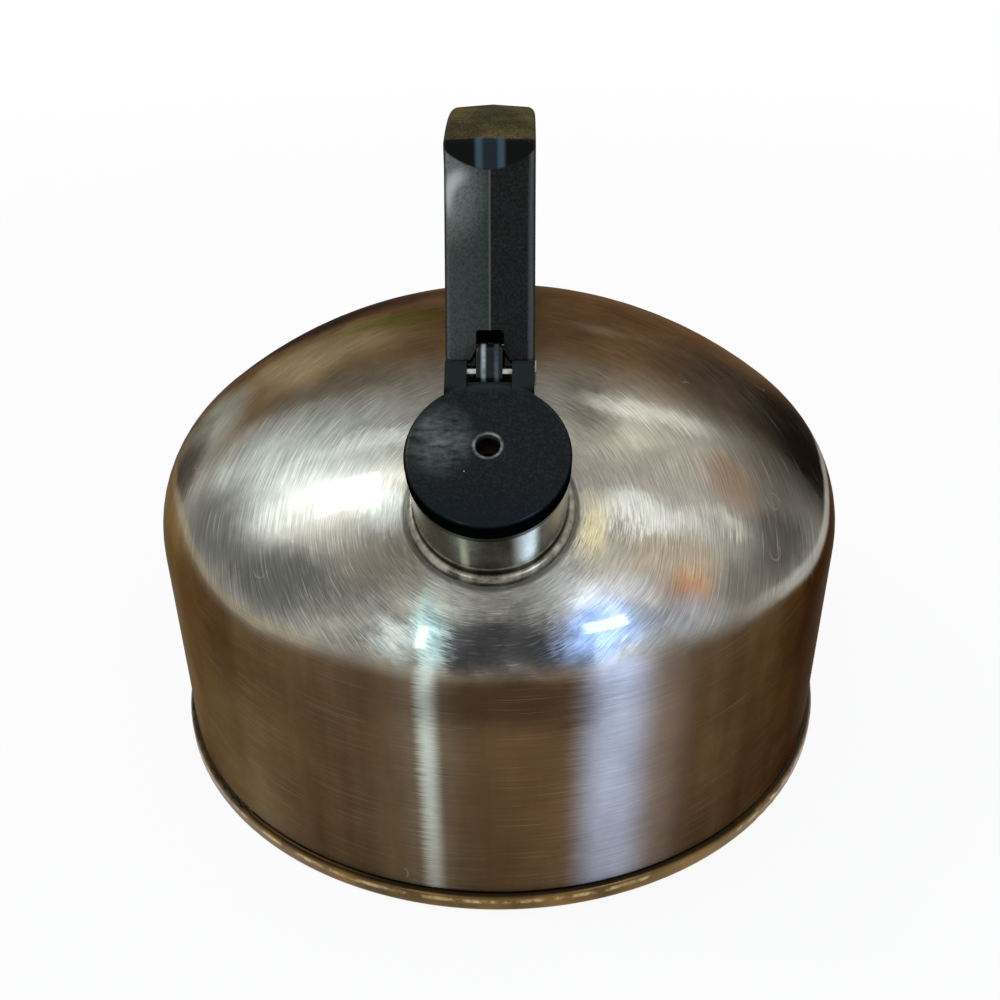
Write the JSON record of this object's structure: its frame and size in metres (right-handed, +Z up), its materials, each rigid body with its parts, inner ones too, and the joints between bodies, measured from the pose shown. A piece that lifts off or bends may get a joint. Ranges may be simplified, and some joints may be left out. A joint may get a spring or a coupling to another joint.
{
  "type": "stovetop whistling kettle",
  "caption": "Round spun-steel kettle with a clad base, a short slanted spout with a hinged whistle cap, and a black loop handle whose squeeze trigger flips the cap open.",
  "frame": {"origin": "middle of the base underside", "axes": "+Z up, the spout points to -Y, +X to the right seen from the spout side"},
  "size_m": [0.2036, 0.2036, 0.1862],
  "materials": {
    "brushed_stainless": "worn circular brushing",
    "polished_stainless": "bright, lightly scratched",
    "copper_cladding": "tarnished copper",
    "black_phenolic": "moulded, satin, dusty",
    "black_cap_plastic": "moulded, satin",
    "seal_rubber": "matt",
    "bright_steel": "bright drawn wire and turned steel"
  },
  "bodies": {
    "kettle": {"body_shell": "brushed_stainless", "base_pan": "brushed_stainless", "copper_bottom": "copper_cladding", "spout_tube": "polished_stainless", "spout_collar": "brushed_stainless", "front_bracket": "brushed_stainless", "rear_bracket": "brushed_stainless", "handle": "black_phenolic", "hinge_arm": "black_phenolic", "hinge_pin": "bright_steel", "trigger_pin": "bright_steel", "trigger_spring": "bright_steel", "handle_screws": "bright_steel", "handle_washers": "bright_steel", "handle_nuts": "bright_steel"},
    "whistle_cap": {"cap": "black_cap_plastic", "cap_gasket": "seal_rubber", "whistle_lower_plate": "polished_stainless", "whistle_upper_plate": "polished_stainless", "whistle_spacer": "polished_stainless"},
    "squeeze_trigger": {"trigger": "black_phenolic"}
  },
  "joints": [
    {"name": "trigger_squeeze", "type": "hinge", "parent": "kettle", "child": "squeeze_trigger", "pos_m": [0, -0.04404, 0.13419], "axis": [1, 0, 0], "range_deg": [0, 17], "stiffness_Nm_per_rad": 0.15, "springref_deg": -20.05, "deforming": ["trigger_spring"]},
    {"name": "cap_flip", "type": "hinge", "parent": "kettle", "child": "whistle_cap", "pos_m": [0, -0.06604, 0.13669], "axis": [-1, 0, 0], "range_deg": [0, 58]}
  ],
  "couplings": [
    {"joint": "cap_flip", "follows": "trigger_squeeze", "ratio": 3.4118}
  ]
}
